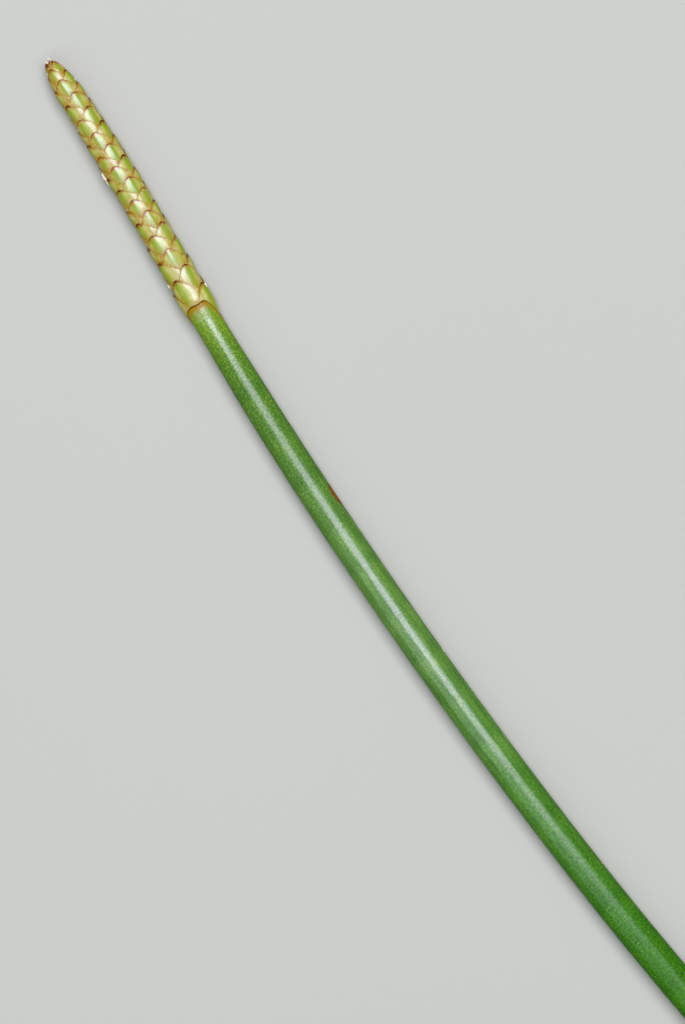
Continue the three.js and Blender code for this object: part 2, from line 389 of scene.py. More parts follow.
# Fine lines that run along a stem or a scale: the vector's y is along them
streaks, given, out = newGroup(
    "fineStreaks", [vectorInput, ("Width", "NodeSocketFloat", 0.12), ("Length", "NodeSocketFloat", 4.0)],
    [("Mask", "NodeSocketFloat"), ("Wide", "NodeSocketFloat")])
parts = split(streaks, given["Vector"])
thin = put(streaks, "ShaderNodeCombineXYZ", {
    0: calc(streaks, "DIVIDE", parts[0], given["Width"]),
    1: calc(streaks, "DIVIDE", parts[1], given["Length"]), 2: parts[2]}).outputs[0]
fine = put(streaks, "ShaderNodeTexNoise", {"Vector": thin, "Scale": 1.0, "Detail": 2.0}).outputs[0]
wide = put(streaks, "ShaderNodeTexNoise", {"Vector": stretch(streaks, thin, (0.28, 0.5, 1)), "Scale": 1.0,
           "Detail": 1.0}).outputs[0]
streaks.links.new(band(streaks, fine, 0.3, 0.7), out["Mask"])
streaks.links.new(band(streaks, wide, 0.3, 0.7), out["Wide"])

# Small roundish cells or grains
grains, given, out = newGroup(
    "cellGrains", [vectorInput, ("Size", "NodeSocketFloat", 0.12)],
    [("Mask", "NodeSocketFloat"), ("Rare", "NodeSocketFloat")])
scaled = inCells(grains, given["Vector"], given["Size"])
cells = put(grains, "ShaderNodeTexVoronoi", {"Vector": scaled, "Scale": 1.0}).outputs
grains.links.new(band(grains, cells["Distance"], 0.55, 0.1), out["Mask"])
chosen = calc(grains, "GREATER_THAN", split(grains, cells["Color"])[0], 0.93)
grains.links.new(times(grains, band(grains, cells["Distance"], 0.4, 0.15), chosen), out["Rare"])

# Soft blotches
blotches, given, out = newGroup(
    "softBlotches", [vectorInput, ("Size", "NodeSocketFloat", 1.0)], [("Mask", "NodeSocketFloat")])
scaled = inCells(blotches, given["Vector"], given["Size"])
cloud = put(blotches, "ShaderNodeTexNoise", {"Vector": scaled, "Scale": 1.0, "Detail": 3.0}).outputs[0]
blotches.links.new(band(blotches, cloud, 0.35, 0.65), out["Mask"])
print("shader groups ready")


def blotchMask(tree, vector, size):
    return useGroup(tree, blotches, {"Vector": vector, "Size": size})["Mask"]


# The stem
stem = {
    "sides": 112,
    "rowStep": 0.28,
    "hollowRadius": 1.5,
    "dome": 0.25,
    "domeRough": 0.07,
    "cutRough": 0.05,
    "claspFall": 2.3,
    "claspRight": (22, 80),
    "claspLeft": (38, 130),
    "claspStart": 100.0,
    "rimCurl": 0.04,
    "cupFloor": 102.9,
    "cupWall": 0.18,
    "cupTaper": 0.2,
    # height, number round the stem, and in radians the turn along it and the start
    "waves": [(0.010, 3, 0.05, 0), (0.006, 5, -0.11, 1)],
    "waveInset": 0.018,
    "waveEnds": (104.5, 100),
    # what 0 to 1 on the maps stands for, round the stem, along it, below the rim and from the axis
    "mapRound": 12.6,
    "mapLength": 150,
    "mapRim": 8,
    "mapRadius": 2.5,
    "greens": [(0, (45, 97, 8)), (20, (46, 99, 9)), (32, (54, 104, 17)), (45, (64, 111, 28)),
               (58, (70, 113, 33)), (72, (70, 112, 34)), (84, (64, 106, 28)), (94, (64, 105, 24)),
               (100, (76, 115, 20)), (104, (95, 130, 12)), (106, (106, 133, 8))],
    # how strongly the waxy skin shines along the stem, as a share of the most
    "wax": [(0, 0.13), (14, 0.19), (19, 0.26), (24, 0.33), (28, 0.4), (33, 0.46), (39, 0.49), (43.5, 0.66),
            (52, 0.69), (57, 0.8), (61, 0.8), (67, 0.68), (74, 0.6), (80, 0.48), (86, 0.35), (95, 0.4),
            (100, 0.5), (102.5, 0.66), (104, 0.95), (105, 1.0)],
    "waxMost": 0.92,
    "waxTint": (0.88, 0.78, 1.0, 1.0),
    # how many times brighter the fine lines, the mottling and the cross walls' bands are
    "streakGain": (1.6, 1.32, 1.9),
    "streakLoss": (0.5, 0.66, 0.45),
    "mottleGain": (2.0, 1.55, 2.2),
    "mottleLoss": (0.36, 0.48, 0.4),
    "septumGain": (1.5, 1.25, 1.4),
    "septumLoss": (0.6, 0.75, 0.6),
    "limeBelowRim": (112, 132, 6),
    "rimAmber": (140, 106, 12),
    "rimBrown": (74, 34, 8),
    "scarAt": (78.65, 75.0),
    "scarHalf": (1.6, 23.0),
    "scarBrown": (150, 76, 18),
    "scarDark": (96, 46, 10),
    "scarDepth": 0.03,
    "grooveAt": -9.0,
    "grooveRange": (44.0, 67.0),
    # painted shade in the groove
    "grooveShadeGreen": (38, 84, 22),
    "drySpeck": (205, 214, 160),
    "flesh": (206, 210, 168),
    "fleshGreen": (176, 190, 122),
    "fleshPore": (92, 118, 50),
    "fleshFibre": (228, 226, 196),
    "fleshRim": (84, 132, 42),
}


def claspEdge(azimuth):
    turned = np.degrees(wrapAngle(azimuth))
    fall = np.maximum(smooth(*stem["claspRight"], turned), smooth(*stem["claspLeft"], -turned))
    return plant["stemLength"] - stem["claspFall"] * fall


def wavyEdge(azimuth):
    # the papery rim isn't cut straight
    turned = np.degrees(wrapAngle(azimuth))
    dip = 0.09 * hump(turned + 6, 14) - 0.03 * hump(turned - 17, 8) + 0.04 * np.sin(np.radians(6 * turned))
    return claspEdge(azimuth) - np.maximum(dip + 0.02, 0.005)


def stemRadius(s, azimuth):
    uneven = 0
    for high, count, turn, start in stem["waves"]:
        uneven = uneven + high * np.sin(count * azimuth + turn * s + start)
    uneven = (uneven - stem["waveInset"]) * smooth(*stem["waveEnds"], s)
    fromScar = np.degrees(wrapAngle(azimuth)) - stem["scarAt"][1]
    scar = hump(s - stem["scarAt"][0], stem["scarHalf"][0]) * hump(fromScar, stem["scarHalf"][1] * 0.6)
    return plainRadius(s) + uneven - stem["scarDepth"] * scar


def rimRadius(azimuth):
    return stemRadius(wavyEdge(azimuth), azimuth) - stem["rimCurl"]


def buildStem(materials):
    sides = stem["sides"]
    # the seam of the maps is underneath
    azimuth = -math.pi + 2 * math.pi * np.arange(sides) / sides
    rings, slots = [], []

    def addRing(s, radius, slot, rough=0.0):
        s = np.broadcast_to(np.asarray(s, float), sides).copy()
        radius = np.broadcast_to(np.asarray(radius, float), sides).copy()
        if rough:
            s += rough * dice.random(sides)
        rings.append((s, radius))
        slots.append(slot)

    hollow, floorS = stem["hollowRadius"], plant["firstSeptum"]
    for share in (0.2, 0.45, 0.7, 0.9):  # the cross wall at the bottom of the hollow, slightly domed
        addRing(floorS - stem["dome"] * (1 - share**2), hollow * share, 1, stem["domeRough"])
    for t in np.linspace(1, 0.02, 12):
        addRing(floorS * t, hollow * (1 + 0.015 * math.sin(9 * t)), 1, stem["cutRough"] if t > 0.9 else 0)
    for share in np.linspace(0.06, 0.94, 7):  # the cut face
        cutRadius = hollow + (plant["stemRadii"][0][1] - hollow) * share
        addRing(0.05 * (share < 0.9), cutRadius, 1, stem["cutRough"])
    addRing(0.0, stemRadius(0.0, azimuth) - 0.03, 1)
    firstSkin = len(rings)
    addRing(0.02, stemRadius(0.02, azimuth), 0)
    for at in np.arange(0.15, stem["claspStart"], stem["rowStep"]):
        addRing(at, stemRadius(at, azimuth), 0)
    edge = wavyEdge(azimuth)
    for share in 1 - np.linspace(1, 0, 36)[:-1] ** 1.5:
        at = stem["claspStart"] + (edge - stem["claspStart"]) * share
        addRing(at, stemRadius(at, azimuth) - stem["rimCurl"] * smooth(0.35, 0.0, edge - at), 0)
    rim = rimRadius(azimuth)
    addRing(edge - 0.012, rim - 0.012, 0)
    addRing(edge, rim - 0.035, 0)
    lastSkin = len(rings)
    addRing(edge - 0.02, rim - 0.075, 0)
    for share in (0.3, 0.65, 1.0):
        at = edge + (stem["cupFloor"] - edge) * share
        addRing(at, along(plant["stemRadii"], at) - stem["cupWall"] - stem["cupTaper"] * share, 0)
    for share in (0.7, 0.35):
        addRing(stem["cupFloor"], 1.36 * share, 0)

    s = np.array([ring[0] for ring in rings])
    radius = np.array([ring[1] for ring in rings])
    points = layDown(place(s, azimuth[None, :], radius))
    s = np.concatenate([s, s[:, :1]], 1)
    radius = np.concatenate([radius, radius[:, :1]], 1)
    turned = np.linspace(0, 1, sides + 1)[None, :] + 0 * s
    rimGap = np.clip((np.concatenate([edge, edge[:1]])[None, :] - s) / stem["mapRim"], 0, 1)
    rimGap[:firstSkin] = 1
    rimGap[lastSkin:] = 0
    maps = {
        "stemMap": np.stack([turned, s / stem["mapLength"]], -1),
        "stemMarks": np.stack([rimGap, septumTone(s)], -1),
        "cutMap": np.stack([turned, radius / stem["mapRadius"]], -1),
    }
    work = Patchwork(*maps)
    work.addGrid(points, maps, wrap=True, slots=slots)
    domeTop, cupMiddle = place(floorS - stem["dome"], 0, 0), place(stem["cupFloor"], 0, 0)
    work.addFan(domeTop, list(range(sides)), True, {"stemMap": (0.5, 0.017), "cutMap": (0.5, 0.0)}, 1)
    last = (len(rings) - 1) * sides
    work.addFan(cupMiddle, list(range(last, last + sides)), False, {"stemMap": (0.5, 0.7)})
    work.finish("culmStem", materials, ["culm"])


def alongStem(tree, s, values):
    # colours or shares that change along the stem
    ramp = put(tree, "ShaderNodeValToRGB", {0: calc(tree, "DIVIDE", s, plant["stemLength"])})
    stops = ramp.color_ramp.elements
    for k, (at, value) in enumerate(values):
        stop = stops[k] if k < 2 else stops.new(at / plant["stemLength"])
        stop.position = at / plant["stemLength"]
        stop.color = value
    return ramp.outputs[0]


def makeSkin():
    look, tree, surface = newMaterial(
        "culmSkin", {"Roughness": 0.27, "IOR": 1.62, "Specular Tint": stem["waxTint"]})
    # millimetres round the stem and along it
    size = mapped(tree, "stemMap", (stem["mapRound"], stem["mapLength"], 1))
    turned = timesPlus(tree, split(tree, mapped(tree, "stemMap"))[0], 360.0, -180.0)
    s = split(tree, size)[1]
    fromRim, septum = split(tree, mapped(tree, "stemMarks", (stem["mapRim"], 1, 1)))[:2]
    line = useGroup(tree, streaks, {"Vector": size, "Width": 0.24, "Length": 5.0})
    cloud = blotchMask(tree, size, 1.6)
    mottle = blotchMask(tree, stretch(tree, size, (1, 0.7, 1)), 0.2)
    ripple = blotchMask(tree, stretch(tree, size, (0.5, 1.3, 1), (7, 3, 0)), 0.22)
    speck = useGroup(tree, grains, {"Vector": size, "Size": 0.36})["Rare"]

    nearNeck = band(tree, s, 70.0, 100.0, 0.4, 1.0)
    nearCut = band(tree, s, 50.0, 24.0, 0.5, 0.78)
    rippled = calc(tree, "MAXIMUM", nearCut, band(tree, s, 75.0, 98.0, 0.5, 0.65))
    lined = times(tree, calc(tree, "SUBTRACT", 1.4, nearNeck), band(tree, s, 24.0, 50.0, 0.35, 1.1))
    colour = alongStem(tree, s, [(at, srgb(*green)) for at, green in stem["greens"]])
    for mask, gain in (
            (times(tree, line["Mask"], lined, 0.8), "streakGain"),
            (times(tree, line["Wide"], lined, 0.6), "streakLoss"),
            (times(tree, cloud, 0.15), "septumGain"),
            (times(tree, band(tree, mottle, 0.45, 0.0), nearNeck, 0.6), "mottleLoss"),
            (times(tree, band(tree, mottle, 0.5, 1.0), nearNeck, 0.6), "mottleGain"),
            (times(tree, band(tree, ripple, 0.45, 0.0), rippled, 0.6), "mottleLoss"),
            (times(tree, band(tree, ripple, 0.5, 1.0), rippled, 0.68), "mottleGain"),
            # paler below each cross wall and darker above it
            (times(tree, band(tree, septum, 0.5, 1.0), 0.4), "septumGain"),
            (times(tree, band(tree, septum, 0.5, 0.0), 0.35), "septumLoss")):
        colour = tint(tree, mask, colour, stem[gain] + (1.0,), "MULTIPLY")
    # one shallow groove beside the top, pressed in by the bump and painted darker green as shade
    first, last = stem["grooveRange"]
    groove = times(tree, near(tree, turned, stem["grooveAt"], 2.2, 0.4), band(tree, s, first, first + 5),
                   band(tree, s, last, last - 5))
    # an old scar on the right side
    across = calc(tree, "DIVIDE", calc(tree, "SUBTRACT", turned, stem["scarAt"][1]), stem["scarHalf"][1])
    lengthwise = calc(tree, "DIVIDE", calc(tree, "SUBTRACT", s, stem["scarAt"][0]), stem["scarHalf"][0])
    oval = timesPlus(tree, lengthwise, lengthwise, times(tree, across, across))
    oval = timesPlus(tree, mottle, 0.3, oval)
    scar = band(tree, oval, 1.6, 0.6)
    healed = times(tree, band(tree, oval, 1.1, 0.3, 0, 0.9), timesPlus(tree, mottle, 0.55, 0.45))
    # under the clasping scale's edge: lime green, then a tan band, then a thin dark line
    ragged = timesPlus(tree, mottle, 0.1, fromRim)
    brown = band(tree, timesPlus(tree, mottle, 0.06, fromRim), 0.24, 0.13)
    colour = paint(tree, colour, stem, (
        (times(tree, groove, 0.4), "grooveShadeGreen"), (times(tree, scar, 0.75), "scarDark"),
        (healed, "scarBrown"), (times(tree, speck, 0.14), "drySpeck"),
        (band(tree, ragged, 2.4, 0.8, 0, 0.7), "limeBelowRim"),
        (band(tree, ragged, 1.3, 0.4, 0, 0.92), "rimAmber"), (brown, "rimBrown")))

    tree.links.new(colour, surface.inputs["Base Color"])
    # the waxy shine is weaker between the grains, on the dry rim and the scar, and where the skin turns away
    wax = alongStem(tree, s, [(at, (share, share, share, 1.0)) for at, share in stem["wax"]])
    grainy = timesPlus(tree, calc(tree, "ADD", mottle, ripple), 0.18, 0.82)
    shine = times(tree, turnedAway(tree, stem["waxMost"], 0.08, 0.5), wax, grainy,
                  band(tree, fromRim, 0.4, 0.85, 0.12, 1.0), band(tree, scar, 0, 1, 1.0, 0.2),
                  calc(tree, "SUBTRACT", 1.0, brown))
    tree.links.new(shine, surface.inputs["Specular IOR Level"])
    rough = timesPlus(tree, line["Mask"], 0.06, 0.24)
    tree.links.new(timesPlus(tree, scar, 0.25, rough), surface.inputs["Roughness"])
    height = timesPlus(tree, line["Mask"], 0.7, times(tree, line["Wide"], 0.8))
    bumpy = times(tree, timesPlus(tree, nearNeck, 0.6, 0.3), band(tree, fromRim, 0.4, 2.0, 0.35, 1.0))
    height = timesPlus(tree, mottle, bumpy, height)
    height = timesPlus(tree, ripple, timesPlus(tree, rippled, 0.5, 0.1), height)
    setBump(tree, surface, timesPlus(tree, groove, -1.2, height), 0.5, 0.007)
    return look


def makeFlesh():
    look, tree, surface = newMaterial("culmFlesh", {"Roughness": 0.75})
    cut = mapped(tree, "cutMap", (stem["mapRound"], stem["mapRadius"], 1))
    radius = split(tree, cut)[1]
    lengthwise = mapped(tree, "stemMap", (stem["mapRound"], stem["mapLength"], 1))
    pore = useGroup(tree, grains, {"Vector": cut, "Size": 0.22})["Mask"]
    cloud = blotchMask(tree, cut, 0.5)
    fibre = useGroup(tree, streaks, {"Vector": lengthwise, "Width": 0.16, "Length": 1.5})["Mask"]
    inWall = band(tree, radius, 1.45, 1.56)
    colour = paint(tree, srgb(*stem["flesh"]), stem, (
        (cloud, "fleshGreen"), (times(tree, pore, inWall, 0.75), "fleshPore"),
        (times(tree, fibre, 0.3), "fleshFibre"), (band(tree, radius, 1.9, 2.08), "fleshRim")))
    tree.links.new(colour, surface.inputs["Base Color"])
    setBump(tree, surface, timesPlus(tree, pore, -1.0, fibre), 0.8, 0.04)
    return look


buildStem([makeSkin(), makeFlesh()])
print("stem ready:", len(septa), "cross walls")

# The head's scales
head = {
    "scaleCount": 78,
    "firstHeight": 1.4,
    "firstAzimuth": -154.4,
    "divergence": 149.15,
    "divergenceGrowth": 0.015,
    "drift": [(50, 0), (59, 12), (63, 24), (66, 24), (70, 38), (78, 44)],
    "internodes": [(0, 0.55), (6, 0.55), (10, 0.45), (16, 0.45), (21, 0.38), (46, 0.38), (54, 0.43),
                   (62, 0.45), (70, 0.36), (78, 0.3)],
    "lean": 0.072,
    "length": 4.4,
    "halfWidth": 2.7,
    "tipRounding": 0.45,
    "flankSlopes": [(0, 1.25), (10, 1.0)],
    "widestTurn": 96.0,
    "stalkShare": 0.76,
    "rows": [(0, 40), (8, 40), (9, 20), (66, 20), (67, 14), (100, 14)],
    "columns": 24,
    "edgeThickness": 0.035,
    "sink": 0.08,
    "neighbours": 18,
    # the last tips and their azimuths
    "crown": [(138.92, -43), (138.8, 75), (138.7, -162), (139.1, 16), (139.12, -102),
              (139.1, 134), (139.2, -48), (139.15, 66), (139.2, 178)],
    "crownSlope": 1.0,
    "crownInset": 0.015,
    "stalkStart": 103.05,
    "stalkEnd": 139.05,
    "gapInCup": 0.04,
    "gapInRim": 0.06,
    "flareAboveRim": 0.28,
    "easeAtRim": 0.3,
    # what 0 to 1 on the maps stands for, across and down a scale and from an edge
    "mapAcross": 6,
    "mapDown": 5,
    "mapEdge": 4,
    "mapEdgeStart": 0.2,
    # how far the edges are pressed in, along the flanks and more at the tip
    "tuck": 0.03,
    "tipTuck": 0.045,
    "tuckWidth": 0.32,
    "keel": 0.045,
    "keelHalfWidth": 0.3,
    "shineMost": 0.45,
    "shineTint": (0.74, 0.84, 1.0, 1.0),
    "straw": (180, 166, 108),
    "strawGreen": (150, 148, 50),
    "keelGreen": (118, 138, 6),
    "paleGreen": (156, 166, 62),
    "strawLine": (206, 196, 130),
    "oliveLine": (132, 130, 28),
    # amber is also laid under overlapping edges, partly as painted shade
    "amber": (158, 104, 6),
    "orange": (170, 90, 8),
    "rust": (130, 64, 6),
    "maroon": (84, 28, 4),
    "hyaline": (186, 136, 70),
    # painted shade for the cracks beside overlapping edges
    "crackShadeBrown": (120, 64, 4),
    "speckBrown": (120, 78, 34),
}


def scaleOutline(across, slope):
    # how far below the tip's level the edge lies
    rounding = head["tipRounding"]
    return np.hypot(rounding, slope * across) - rounding


def edgeDistance(across, down, slope):
    # how far inside a scale's edge a place lies, in millimetres, negative outside it
    steepness = slope * slope * np.abs(across) / np.hypot(head["tipRounding"], slope * across)
    return (down - scaleOutline(across, slope)) / np.hypot(1, steepness)


def addTip(tipAt, azimuth, slope, inset=0):
    scales.append({
        "tipAt": tipAt,
        "azimuth": math.radians(azimuth),
        "slope": float(slope),
        "roll": float(headRadius(tipAt - head["length"] / 2)),
        "inset": inset,
    })


scales = []
tipAt = plant["stemLength"] + head["firstHeight"]
azimuth = head["firstAzimuth"]
for k in range(head["scaleCount"]):
    if tipAt >= fullLength:
        break
    addTip(tipAt, azimuth + float(along(head["drift"], k)), along(head["flankSlopes"], k))
    tipAt += float(along(head["internodes"], k))
    azimuth -= head["divergence"] + head["divergenceGrowth"] * k
for k, (tipAt, azimuth) in enumerate(head["crown"]):
    addTip(tipAt, azimuth, head["crownSlope"], head["crownInset"] * k)


def roomAtRim(s, azimuth):
    # the scales start inside the clasping edge and widen above it
    edge = wavyEdge(azimuth)
    share = np.clip((edge - s) / (edge - stem["cupFloor"]), 0, 1)
    inside = along(plant["stemRadii"], s) - stem["cupWall"] - stem["cupTaper"] * share - head["gapInCup"]
    above = rimRadius(azimuth) - head["gapInRim"] + head["flareAboveRim"] * np.maximum(s - edge, 0)
    t = smooth(edge - head["easeAtRim"], edge, s)
    return inside * (1 - t) + above * t


def softMin(a, b, softness=0.03):
    return 0.5 * (a + b - np.sqrt((a - b) ** 2 + softness**2))


def coveredFrom(k, s, azimuth):
    # distance to the nearest edge that lies over this place: a lower scale's, or the clasping rim
    nearest = s - wavyEdge(azimuth)
    for other in scales[max(0, k - head["neighbours"]):k]:
        turn, roll = wrapAngle(azimuth - other["azimuth"]), other["roll"]
        gap = -edgeDistance(turn * roll, other["tipAt"] - s, other["slope"])
        pastSide = (np.abs(turn) - math.radians(head["widestTurn"])) * roll
        nearest = np.minimum(nearest, np.maximum(gap, pastSide))
    return nearest


def addScale(work, k, scale):
    rows, columns = int(along(head["rows"], k)), head["columns"]
    slope, roll = scale["slope"], scale["roll"]
    half = min(head["halfWidth"], math.radians(head["widestTurn"]) * roll)
    across = np.linspace(-1, 1, columns + 1)[None, :] * half
    wobble = 0.02 * np.sin(across * dice.uniform(3, 6) + dice.uniform(0, 6))
    wobble = wobble + 0.012 * np.sin(across * dice.uniform(9, 14) + dice.uniform(0, 6))
    edge = scaleOutline(across, slope) + wobble * smooth(0.1, 0.6, np.abs(across))
    t = np.linspace(0, 1, rows + 1)[:, None] ** 1.35
    down = edge + (head["length"] - edge) * t
    fromEdge = np.maximum(edgeDistance(across, down - wobble, slope), 0)
    s = scale["tipAt"] - down
    turned = scale["azimuth"] + across / roll
    small = np.clip(headRadius(scale["tipAt"] - 1.0) / 1.7, 0.25, 1)
    keelFade = smooth(0.02, 0.4, down) * (1 - 0.65 * smooth(1.2, 2.6, down))
    outer = headRadius(s) - head["lean"] * down - scale["inset"]
    outer = outer + head["keel"] * small * hump(across, head["keelHalfWidth"]) * keelFade
    tuck = head["tuck"] + head["tipTuck"] * hump(across, 0.55)
    outer = outer - tuck * small * hump(fromEdge, head["tuckWidth"])
    outer = outer + 0.025 * small * hump(down - 1.3, 0.8) * hump(across, 1.2)
    outer = outer + 0.03 * dice.random() * small * hump(across, 0.5) * hump(down, 0.4)
    outer = outer + 0.006 * np.sin(across * 9 + k) * smooth(0.3, 1.0, np.abs(across))
    # what other scales cover lies a little deeper
    cover = coveredFrom(k, s, turned)
    outer = outer - head["sink"] * np.maximum(small, 0.6) * smooth(0, 0.2, -cover)
    thickness = head["edgeThickness"] + 0.05 * smooth(0, 0.8, fromEdge)
    outer = softMin(outer, roomAtRim(s, turned))
    outer = np.maximum(outer, 0.06)
    outside = layDown(place(s, turned, outer))
    inside = layDown(place(s, turned, np.maximum(outer - thickness, 0.02)))
    # the marks on the scales along the top are worn
    chance = (0.1 + 0.9 * dice.random() ** 0.8) * (1 - 0.75 * hump(wrapAngle(scale["azimuth"]), 0.35))
    warmth = np.clip(0.5 - 0.3 * np.sin(scale["azimuth"]) + 0.25 * dice.standard_normal(), 0.1, 1)
    edgeShare = np.clip(fromEdge / head["mapEdge"], 0, 1)
    coverShare = np.clip(cover / head["mapEdge"] + head["mapEdgeStart"], 0, 1)
    maps = {
        "scaleMap": np.stack([across / head["mapAcross"] + 0.5 + 0 * down, down / head["mapDown"]], -1),
        "scaleMarks": np.stack([edgeShare, 0 * down + warmth], -1),
        "scaleCover": np.stack([coverShare, 0 * down + chance], -1),
    }
    work.addSheet(outside, inside, maps)


def makeTissue():
    look, tree, surface = newMaterial(
        "scaleTissue", {"Roughness": 0.27, "IOR": 1.85, "Specular Tint": head["shineTint"]})
    # millimetres across and down a scale, from its own edge and from an edge that lies over it
    wide, long, reach = head["mapAcross"], head["mapDown"], head["mapEdge"]
    across, down = split(tree, mapped(tree, "scaleMap", (wide, long, 1), (-wide / 2, 0, 0)))[:2]
    fromEdge, warmth = split(tree, mapped(tree, "scaleMarks", (reach, 1, 1)))[:2]
    start = -reach * head["mapEdgeStart"]
    cover, chance = split(tree, mapped(tree, "scaleCover", (reach, 1, 1), (start, 0, 0)))[:2]
    away = calc(tree, "ABSOLUTE", across)
    spot = put(tree, "ShaderNodeCombineXYZ", {0: across, 1: down, 2: times(tree, chance, 40.0)}).outputs[0]
    line = useGroup(tree, streaks, {"Vector": spot, "Width": 0.09, "Length": 1.6})
    cloud = blotchMask(tree, spot, 0.8)
    patch = blotchMask(tree, spot, 0.3)
    torn = blotchMask(tree, stretch(tree, spot, (1, 1, 1), (5, 5, 0)), 0.2)
    grain = useGroup(tree, grains, {"Vector": spot, "Size": 0.14})

    inner = times(tree, band(tree, away, 1.2, 0.35), band(tree, down, 0.25, 0.9), 0.55)
    keelMask = times(tree, band(tree, away, 0.6, 0.26), band(tree, down, 0.16, 0.5),
                     timesPlus(tree, cloud, 0.2, 0.85), timesPlus(tree, warmth, -0.2, 1.1))
    # warm tan beside every edge on this scale, and on the one behind it a tan under the overlapping edge
    # that is partly its own colour and partly painted shade
    warm = times(tree, band(tree, fromEdge, 0.5, 0.05), timesPlus(tree, patch, 0.7, 0.05),
                 timesPlus(tree, warmth, 1.0, 0.1))
    under = times(tree, band(tree, cover, 0.95, 0.0), timesPlus(tree, patch, 0.7, 0.2),
                  timesPlus(tree, warmth, 1.1, 0.05))
    # a thin broken rusty line along the edge, and an orange glow and a dark ragged mark at the tip
    glow = times(tree, band(tree, away, 0.6, 0.1), band(tree, down, 0.85, 0.1),
                 timesPlus(tree, patch, 0.5, 0.5), timesPlus(tree, warmth, 0.8, 0.1))
    rust = times(tree, band(tree, fromEdge, 0.12, 0.04), timesPlus(tree, torn, 0.7, 0.08),
                 band(tree, away, 1.9, 0.3, 0.4, 0.95))
    pale = band(tree, fromEdge, 0.06, 0.02)
    paleEdge = times(tree, pale, timesPlus(tree, patch, 0.3, 0.1))
    ragged = timesPlus(tree, torn, 0.16, fromEdge)
    tipLine = times(tree, band(tree, ragged, 0.32, 0.18), band(tree, away, 1.0, 0.3), 0.85)
    narrow = timesPlus(tree, chance, -0.4, timesPlus(tree, torn, 0.35, away))
    deep = timesPlus(tree, chance, -0.12, ragged)
    apex = times(tree, band(tree, deep, 0.3, 0.14), band(tree, narrow, 0.5, 0.05),
                 band(tree, chance, 0.05, 0.7, 0.15, 1.0))
    streak = times(tree, band(tree, away, 0.14, 0.03), band(tree, down, 1.0, 0.2),
                   band(tree, chance, 0.45, 0.75), 0.75)
    # brown smudges by the edges
    smudge = times(tree, band(tree, torn, 0.7, 0.95), band(tree, patch, 0.4, 0.7),
                   band(tree, fromEdge, 0.6, 0.1), 0.7)
    # painted shade: a brown crack shadow beside an overlapping edge
    crackShade = band(tree, cover, 0.06, 0.0)
    colour = paint(tree, srgb(*head["straw"]), head, (
        (cloud, "strawGreen"), (inner, "paleGreen"), (keelMask, "keelGreen"),
        (times(tree, line["Mask"], 0.16), "strawLine"), (times(tree, line["Wide"], 0.2), "oliveLine"),
        (warm, "amber"), (under, "amber"), (glow, "orange"), (rust, "rust"), (paleEdge, "hyaline"),
        (tipLine, "rust"), (apex, "maroon"), (streak, "maroon"), (smudge, "rust"),
        (times(tree, crackShade, 0.2), "crackShadeBrown"), (times(tree, grain["Rare"], 0.3), "speckBrown")))

    tree.links.new(colour, surface.inputs["Base Color"])
    # dry edges, dark marks and the painted crack shade shine less
    dry = calc(tree, "MAXIMUM", calc(tree, "MAXIMUM", times(tree, apex, 0.55), times(tree, crackShade, 0.8)),
               band(tree, fromEdge, 0.1, 0.03, 0, 0.5))
    shine = times(tree, turnedAway(tree, head["shineMost"], 0.03, 0.3), band(tree, dry, 0, 0.9, 1.0, 0.1))
    tree.links.new(shine, surface.inputs["Specular IOR Level"])
    rough = timesPlus(tree, pale, 0.15, 0.26)
    tree.links.new(timesPlus(tree, line["Mask"], 0.06, rough), surface.inputs["Roughness"])
    height = timesPlus(tree, line["Mask"], 0.7, times(tree, line["Wide"], 0.7))
    setBump(tree, surface, timesPlus(tree, grain["Mask"], 0.25, height), 0.5, 0.006)
    return look


def buildScales(tissue):
    work = Patchwork("scaleMap", "scaleMarks", "scaleCover")
    for k, scale in enumerate(scales):
        addScale(work, k, scale)
    # the stalk that they grow on
    sides = 24
    turned = -math.pi + 2 * math.pi * np.arange(sides) / sides
    end = head["stalkEnd"]
    s = np.append(np.arange(head["stalkStart"], end - 0.75, 0.5), np.linspace(end - 0.65, end, 7))
    s = s[:, None] + 0 * turned[None, :]
    core = np.minimum(head["stalkShare"] * headRadius(s), roomAtRim(s, turned[None, :]) - 0.12)
    core = np.maximum(core * np.sqrt(np.clip((end - s) / 0.5, 0, 1)), 0.05)
    plain = np.full((len(s), sides + 1, 2), 0.6)
    maps = {"scaleMap": plain, "scaleMarks": plain, "scaleCover": plain - 0.4}
    mapRow = {name: tuple(spots[0, 0]) for name, spots in maps.items()}
    ends = (place(s[0, 0], 0, 0), place(s[-1, 0], 0, 0))
    work.addTube(place(s, turned[None, :], core), maps, mapRow, ends=ends)
    work.finish("floralScales", [tissue], ["spikelet"])


buildScales(makeTissue())
print("head ready:", len(scales), "scales")

